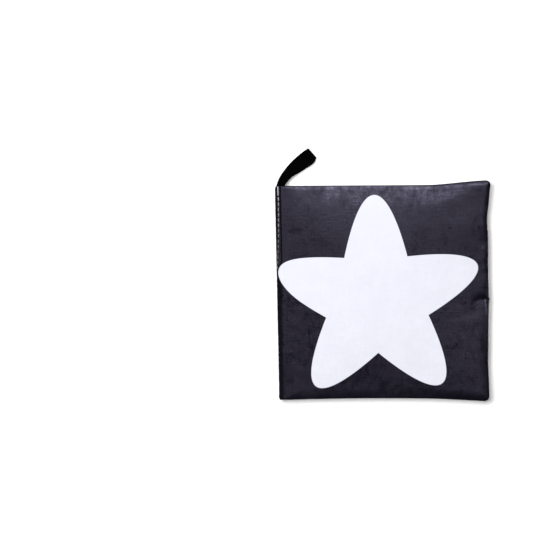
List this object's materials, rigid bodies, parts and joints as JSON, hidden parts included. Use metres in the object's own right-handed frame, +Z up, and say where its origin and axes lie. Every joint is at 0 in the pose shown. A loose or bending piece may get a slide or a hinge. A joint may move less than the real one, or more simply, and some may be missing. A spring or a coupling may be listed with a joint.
{
  "type": "baby activity book",
  "caption": "Square cloth book of padded leaves that turn on a sewn spine, with a plain star printed on the front cover and a ribbon loop at the head of the spine.",
  "frame": {"origin": "middle of the back cover's flat outer face, on which the closed book lies", "axes": "+X to the fore-edge, the spine lying along -X; +Y to the head, where the ribbon loop is; +Z up through the closed leaves"},
  "size_m": [0.163, 0.1915, 0.0173],
  "materials": {
    "black_cloth": "matte",
    "page_cloth": "matte",
    "padding": "matte",
    "crinkle_film": "gloss",
    "thread": "matte",
    "ribbon": "matte"
  },
  "bodies": {
    "back_cover": {"back_cover_inner_cloth": "page_cloth", "back_cover_outer_cloth": "black_cloth", "back_cover_padding": "padding", "back_cover_crinkle_film": "crinkle_film", "back_cover_sewn_edge": "black_cloth", "leaf_2_sewn_edge": "page_cloth", "leaf_1_sewn_edge": "page_cloth", "front_cover_sewn_edge": "page_cloth", "spine_wrap": "black_cloth", "needle_thread": "thread", "bobbin_thread": "thread", "ribbon_loop": "ribbon"},
    "leaf_2": {"leaf_2_front_cloth": "page_cloth", "leaf_2_back_cloth": "page_cloth", "leaf_2_padding": "padding"},
    "leaf_1": {"leaf_1_front_cloth": "page_cloth", "leaf_1_back_cloth": "page_cloth", "leaf_1_padding": "padding"},
    "front_cover": {"front_cover_outer_cloth": "black_cloth", "front_cover_inner_cloth": "page_cloth", "front_cover_padding": "padding", "front_cover_crinkle_film": "crinkle_film"}
  },
  "joints": [
    {"name": "leaf_2_hinge", "type": "hinge", "parent": "back_cover", "child": "leaf_2", "pos_m": [-0.07825, 0, 0.00765], "axis": [0.0209, -0.9998, 0], "range_deg": [0, 180]},
    {"name": "leaf_1_hinge", "type": "hinge", "parent": "leaf_2", "child": "leaf_1", "pos_m": [-0.07825, 0, 0.00765], "axis": [0.0209, -0.9998, 0], "range_deg": [0, 180]},
    {"name": "front_cover_hinge", "type": "hinge", "parent": "leaf_1", "child": "front_cover", "pos_m": [-0.07825, 0, 0.00765], "axis": [0.0209, -0.9998, 0], "range_deg": [0, 180]}
  ]
}
